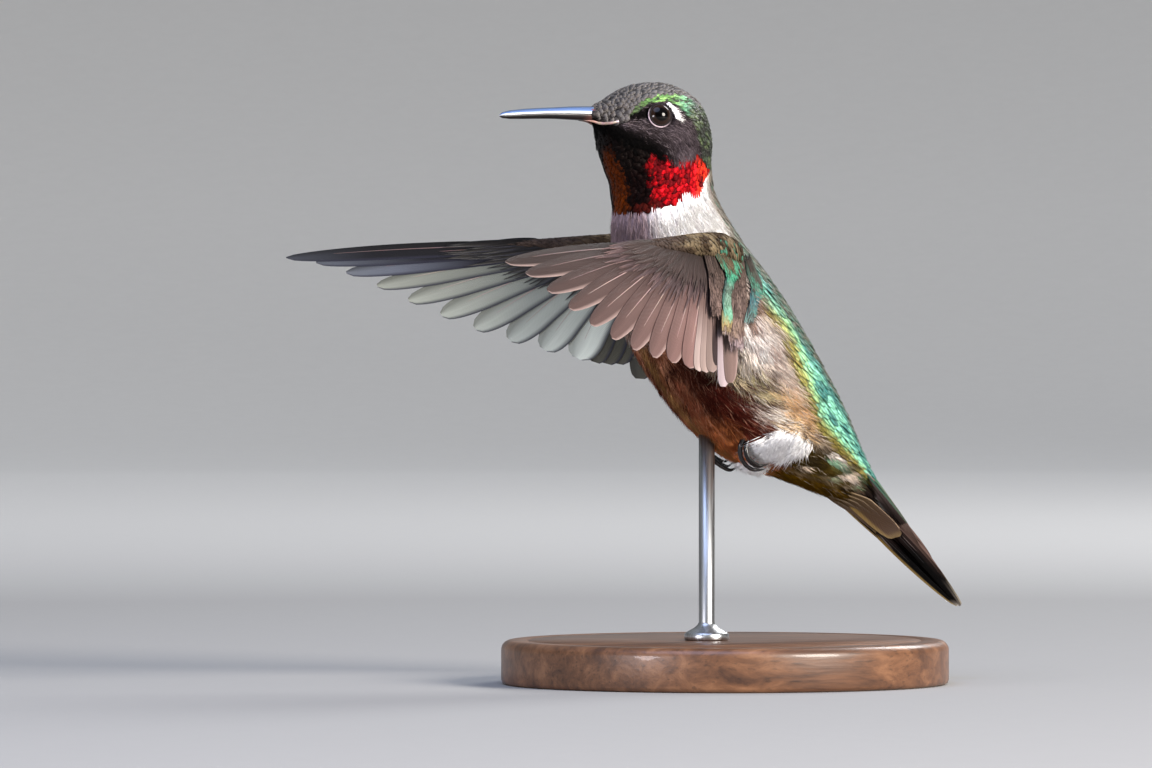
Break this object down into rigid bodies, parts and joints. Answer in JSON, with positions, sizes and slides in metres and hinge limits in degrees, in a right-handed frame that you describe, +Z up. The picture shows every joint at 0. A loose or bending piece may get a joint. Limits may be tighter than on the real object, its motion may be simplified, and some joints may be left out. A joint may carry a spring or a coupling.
{
  "type": "ruby-throated hummingbird",
  "caption": "Life-size male ruby-throated hummingbird, hovering with wings swept forward and tail hanging, held by a rod on a round wooden display stand.",
  "frame": {"origin": "centre of the stand's round underside, on the floor", "axes": "+Z up, -X the way the bird faces, -Y the bird's left side"},
  "size_m": [0.0802, 0.0596, 0.0752],
  "materials": {
    "crown_feathers": "small grey-brown feathers, green over the eye, black on the face",
    "throat_feathers": "glossy ruby scales over a white collar",
    "body_feathers": "soft buff and rusty underparts, golden green back",
    "rump_feathers": "golden green above, buff grey below",
    "flight_feathers": "thin pinkish grey-brown vanes with darker shafts",
    "tail_feathers": "blackish vanes",
    "bill_horn": "smooth black horn with a blue sheen",
    "eye": "wet, near-black brown",
    "foot_skin": "scaly black skin and claws",
    "stand_wood": "satin turned hardwood",
    "stand_steel": "thin bright rod"
  },
  "bodies": {
    "root": {"head": "crown_feathers", "eye_left": "eye", "eye_right": "eye", "bill_upper": "bill_horn", "bill_lower": "bill_horn", "neck": "throat_feathers", "torso": "body_feathers", "rump": "rump_feathers", "tail": "tail_feathers", "wing_left": "flight_feathers", "wing_right": "flight_feathers", "foot_left": "foot_skin", "foot_right": "foot_skin", "stand_base": "stand_wood", "stand_rod": "stand_steel"}
  },
  "joints": []
}
